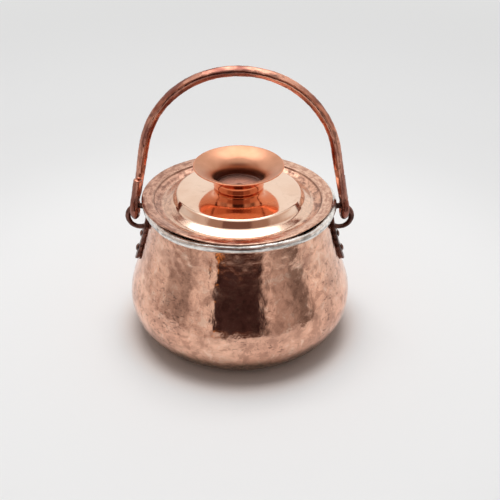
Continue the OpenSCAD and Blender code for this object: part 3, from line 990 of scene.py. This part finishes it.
def hook_path():
    """The middle line of the hook's rod, from the top of the strap out and round the curl."""
    a = np.radians(np.linspace(90 + HOOK_RISE, -90 - HOOK_RETURN, 90))
    x = HOOK_REACH + HOOK_RADIUS * np.cos(a)
    z = HOOK_HEIGHT + HOOK_RADIUS * np.sin(a)
    curl = np.stack([x, np.zeros(90), z], 1)
    elbow_x = neck_radius_at(curl[0, 2]) + 0.1 + HOOK_ROD / 2
    elbow_z = curl[0, 2] - (curl[0, 0] - elbow_x) * math.tan(math.radians(HOOK_RISE))
    root = neck_radius_at(115.0) + STRAP_THICKNESS / 2
    elbow = (elbow_x - 1.6, 0, elbow_z - 0.6)
    bend = cubic((root, 0, 115.0), (root - 1.0, 0, 119.0), elbow, tuple(curl[0]), 14)
    return resampled(np.vstack([bend[:-1], curl]), 0.8)


def make_ear(side, name, node, material):
    """The ear at +X where side is 1, or the same turned by half a turn where it is -1."""
    path = hook_path()
    t = np.linspace(0, 1, len(path))
    radius = HOOK_ROD / 2 * (1.08 - 0.16 * smooth_step(t, 0.3, 1.0))
    curl = swept(path, radius, columns=20, square=1.1, roll=math.radians(45))
    points, faces = joined(strap_slab(), curl)
    ear = mesh_object(name, points, faces)
    remeshed(ear, voxel=0.5, rounds=3)
    seed = 51 if side > 0 else 52
    hammered(ear, spacing=3.2, radius=2.4, depth=0.16, seed=seed, wobble=0.06, wobble_size=9.0)
    if side < 0:
        points = coordinates(ear)
        move_vertices(ear, points * (-1, -1, 1))
    kept_inside(ear)
    ear.data.materials.append(material)
    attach(ear, "pot")
    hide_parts(node)


def make_ears():
    colors = ((0.20, 0.095, 0.075, 1), (0.08, 0.037, 0.03, 1), (0.03, 0.018, 0.016, 1))
    material = forged_material("dark_forged", colors, rough=(0.26, 0.5))
    make_ear(1, "right_ear_forged", "right_ear", material)
    make_ear(-1, "left_ear_forged", "left_ear", material)


def bail_path():
    """The middle line of the bail from one folded end to the other, with a radius for each point."""
    span = math.hypot(EYE_REACH, ARCH_HEIGHT - PIVOT_HEIGHT)
    flare = math.acos(ARCH_RADIUS / span) - math.atan((ARCH_HEIGHT - PIVOT_HEIGHT) / EYE_REACH)
    twist = math.asin(FOLD_OFFSET / EYE_REACH)
    top = math.sqrt(EYE_RADIUS ** 2 - FOLD_OFFSET ** 2)
    up = np.array([-math.sin(flare), 0.0, math.cos(flare)])
    eye = np.array([EYE_REACH, 0.0, PIVOT_HEIGHT])
    straight = top + 6.5
    beside = (FOLD_OUTWARD, FOLD_OFFSET + 0.1, 0)
    fold_top = eye + up * (top + FOLD_LENGTH + 2.0) + beside
    fold_mid = eye + up * straight + beside
    a = np.radians(np.linspace(62, 298, 40))
    loop_z = PIVOT_HEIGHT + EYE_RADIUS * np.cos(a)
    loop = np.stack([np.full(40, EYE_REACH), EYE_RADIUS * np.sin(a), loop_z], 1)
    leg_low = eye + up * straight + (0, -FOLD_OFFSET, 0)
    a = np.linspace(flare, math.pi - flare, 160)
    arch = np.stack([ARCH_RADIUS * np.cos(a), np.zeros(160), ARCH_HEIGHT + ARCH_RADIUS * np.sin(a)], 1)
    c, s = math.cos(-twist), math.sin(-twist)
    arch = np.stack([arch[:, 0] * c - arch[:, 1] * s, arch[:, 0] * s + arch[:, 1] * c, arch[:, 2]], 1)
    down = cubic(fold_mid, fold_mid - up * 3.0, loop[0] + (0.3, -2.4, 3.2), loop[0], 10)
    rise = cubic(loop[-1], loop[-1] + (0, 2.4, 3.2), leg_low - up * 3.0, leg_low, 10)
    end = np.vstack([fold_top, down, loop[1:], rise[1:]])
    other = (end * (-1, -1, 1))[::-1]
    path = resampled(np.vstack([end, arch, other]), 1.2)
    for _ in range(2):
        path[1:-1] = (path[:-2] + 2 * path[1:-1] + path[2:]) / 4
    height = path[:, 2] - PIVOT_HEIGHT
    radius = FOLD_ROD / 2 + (BAIL_ROD - FOLD_ROD) / 2 * smooth_step(height, 14.0, 60.0)
    return path, radius


def make_bail():
    path, radius = bail_path()
    count = len(path)
    slow = wave(np.stack([np.arange(count) * 1.2, np.zeros(count), np.zeros(count)], 1), 26.0, 61)
    radius = radius * (1 + 0.02 * slow)
    high = smooth_step(path[:, 2], 150.0, 180.0)
    path = path + np.stack([np.zeros(count), 0.5 * slow * high, 0.3 * np.roll(slow, 20) * high], 1)
    roll = math.radians(45) + 0.25 * slow
    points, faces = swept(path, radius, columns=40, square=0.9, roll=roll)
    bail = mesh_object("bail_forged", points, faces)
    remeshed(bail, voxel=0.75, rounds=2)
    hammered(bail, spacing=5.0, radius=4.2, depth=0.26, seed=63, wobble=0.1, wobble_size=16.0)
    kept_inside(bail)
    colors = ((0.74, 0.36, 0.25, 1), (0.24, 0.09, 0.07, 1), (0.09, 0.05, 0.045, 1))
    material = forged_material("forged_bail", colors, rough=(0.12, 0.32), darker_low=0.8, arched=True)
    bail.data.materials.append(material)
    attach(bail, "bail")
    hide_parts("bail")


def make_rivets():
    """Each rivet is the solid itself, softened and marked."""
    colors = ((0.27, 0.13, 0.10, 1), (0.12, 0.055, 0.045, 1), (0.05, 0.028, 0.022, 1))
    material = forged_material("rivet_copper", colors, rough=(0.3, 0.55))
    names = ["knob_rivet", "left_upper_rivet", "left_lower_rivet", "right_upper_rivet", "right_lower_rivet"]
    for name in names:
        rivet = bpy.data.objects.new(name + "_hammered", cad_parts[name].data.copy())
        bpy.context.scene.collection.objects.link(rivet)
        remeshed(rivet, voxel=0.3, rounds=2)
        hammered(rivet, spacing=2.0, radius=1.6, depth=0.12, seed=71, wobble=0.05, wobble_size=4.0)
        rivet.data.materials.clear()
        rivet.data.materials.append(material)
        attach(rivet, "pot")
        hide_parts(name)


# The stage

def surroundings(g, x, y, z):
    """What stands round the pot in the studio, as a colour by direction and height."""
    azimuth = g.math("MULTIPLY", g.math("ARCTAN2", x, g.math("MULTIPLY", y, -1.0)), 180 / math.pi)

    # Brightness by direction, warmer where it is darker
    ramp = g.add("ValToRGB")
    g.put(ramp.inputs[0], g.math("ADD", g.math("DIVIDE", azimuth, 360.0), 0.5))
    elements = ramp.color_ramp.elements
    elements[0].position, elements[1].position = 0.0, 1.0
    for degrees, _ in STUDIO_LEVELS[1:-1]:
        elements.new(degrees / 360 + 0.5)
    for element, (_, level) in zip(elements, STUDIO_LEVELS):
        element.color = (level, level * (0.84 + 0.14 * level), level * (0.78 + 0.18 * level), 1)

    # Higher up it is pale behind the pot, warm at the sides and dark in front
    apart = g.math("ABSOLUTE", azimuth)
    high = g.remap(z, 0.20, 0.30)
    upper = g.mix(g.remap(apart, 85.0, 120.0), (0.68, 0.52, 0.44, 1), (1.0, 0.97, 0.94, 1))
    color = g.mix(g.math("MULTIPLY", high, 0.85), ramp.outputs[0], upper)
    wide = g.math("MULTIPLY", g.remap(apart, 56.0, 48.0), high)
    color = g.mix(g.math("MULTIPLY", wide, 0.9), color, (0.34, 0.19, 0.14, 1))

    # The dark middle of the front, and a small warm glint low down near its left edge
    core = g.mix(g.remap(z, 0.012, 0.035), (0.13, 0.075, 0.06, 1), (0.05, 0.029, 0.029, 1))
    core = g.mix(high, core, (0.20, 0.10, 0.08, 1))
    aside = g.math("ABSOLUTE", g.math("SUBTRACT", azimuth, CORE_AZIMUTH))
    color = g.mix(g.remap(aside, 25.2, 23.0), color, core)
    glint = g.remap(g.math("ABSOLUTE", g.math("SUBTRACT", azimuth, LAMP_GLINT_AZIMUTH)), 2.6, 1.0)
    glint = g.math("MULTIPLY", glint, g.remap(g.length(x, y), 0.45, 0.49))
    glint = g.math("MULTIPLY", glint, g.remap(z, 0.04, 0.015))
    return g.mix(glint, color, (1.0, 0.50, 0.16, 1))


def floor_material():
    """A pale floor with painted light: paler round the pot and darker further off, with painted warm light
    bounced from the copper close to it; far off it runs into the backdrop.

    In reflections its far part takes on what stands round the pot instead.
    """
    material, g = new_material("pale_floor")
    x, y, z = g.split(g.add("NewGeometry").outputs["Position"])
    away = g.length(x, y)
    far = g.remap(away, 0.43, 0.50)
    rays = g.add("LightPath").outputs
    # Painted falloff of light: the floor darker further from the pot
    pale = g.mix(g.remap(away, 0.24, 0.46), (0.86, 0.86, 0.86, 1), (0.78, 0.78, 0.78, 1))
    # Painted warm light bounced from the copper onto the floor close to it
    pale = g.mix(g.remap(away, 0.125, 0.085), pale, (0.82, 0.66, 0.59, 1))
    shade = g.mix(g.math("MULTIPLY", far, rays["Is Glossy Ray"]), pale, surroundings(g, x, y, z))
    shader = g.add("BsdfPrincipled", Base_Color=shade, Roughness=0.85)
    backdrop = g.add("Emission", Color=BACKDROP)
    both = g.add("MixShader")
    g.put(both.inputs[0], g.math("MULTIPLY", g.remap(away, 0.7, 1.5), rays["Is Camera Ray"]))
    g.put(both.inputs[1], shader.outputs[0])
    g.put(both.inputs[2], backdrop.outputs[0])
    g.output(both)
    return material


def studio_material():
    material, g = new_material("studio_wall")
    x, y, z = g.split(g.add("NewGeometry").outputs["Position"])
    g.output(g.add("Emission", Color=surroundings(g, x, y, z)))
    return material


def glow_material():
    material, g = new_material("overhead_glow")
    g.output(g.add("Emission", Strength=CARD_GLOW))
    return material


def stage_mesh(name, points, faces, material):
    """A piece of the stage from points in metres."""
    mesh = bpy.data.meshes.new(name)
    mesh.from_pydata(points, [], faces)
    mesh.materials.append(material)
    obj = bpy.data.objects.new(name, mesh)
    bpy.context.scene.collection.objects.link(obj)
    return obj


def only_in_reflections(obj):
    obj.visible_camera = False
    obj.visible_diffuse = False
    obj.visible_shadow = False
    obj.visible_transmission = False


def make_studio_wall():
    """A round wall that shows only in reflections."""
    points = []
    for z in (0.0, STUDIO_HEIGHT):
        for k in range(STUDIO_FACES):
            a = 2 * math.pi * k / STUDIO_FACES
            points.append((STUDIO_RADIUS * math.cos(a), STUDIO_RADIUS * math.sin(a), z))
    wall = stage_mesh("studio_wall", points, grid_faces(2, STUDIO_FACES), studio_material())
    only_in_reflections(wall)


def make_world():
    """Plain light from all round, a little brighter in reflections, before a pale backdrop."""
    world = bpy.data.worlds.new("studio")
    bpy.context.scene.world = world
    g = Graph(world)
    rays = g.add("LightPath").outputs
    color = g.mix(rays["Is Glossy Ray"], (AMBIENT, AMBIENT, AMBIENT, 1), OPEN_SIDES)
    color = g.mix(rays["Is Camera Ray"], color, BACKDROP)
    g.output(g.add("Background", Color=color), "OutputWorld")


def make_lamp():
    """A soft lamp above, for everything but the reflections, which have the card instead."""
    data = bpy.data.lights.new("overhead", "AREA")
    data.shape = "RECTANGLE"
    data.size, data.size_y = LAMP_SIZE
    data.energy = LAMP_POWER
    light = bpy.data.objects.new("overhead", data)
    light.location = LAMP_PLACE
    direction = np.array(LAMP_TARGET, float) - np.array(LAMP_PLACE, float)
    yaw = math.atan2(direction[1], direction[0]) - math.pi / 2
    pitch = math.atan2(math.hypot(direction[0], direction[1]), -direction[2])
    light.rotation_euler = (pitch, 0.0, yaw)
    light.visible_glossy = False
    bpy.context.scene.collection.objects.link(light)


def make_stage():
    half = FLOOR_HALF
    corners = [(-half, -half, 0), (half, -half, 0), (half, half, 0), (-half, half, 0)]
    stage_mesh("floor", corners, [(0, 1, 2, 3)], floor_material())
    make_studio_wall()
    left, right = CARD_X
    near, far = CARD_Y
    outline = [(left, near), (right, near), (right, far), (left, far)]
    corners = [(x, y, CARD_HEIGHT) for x, y in outline]
    only_in_reflections(stage_mesh("overhead_card", corners, [(0, 3, 2, 1)], glow_material()))
    make_lamp()
    make_world()


make_camera()
make_stage()
make_body()
make_lid()
make_knob()
make_rivets()
make_ears()
make_bail()

bpy.context.scene.view_settings.view_transform = "Standard"
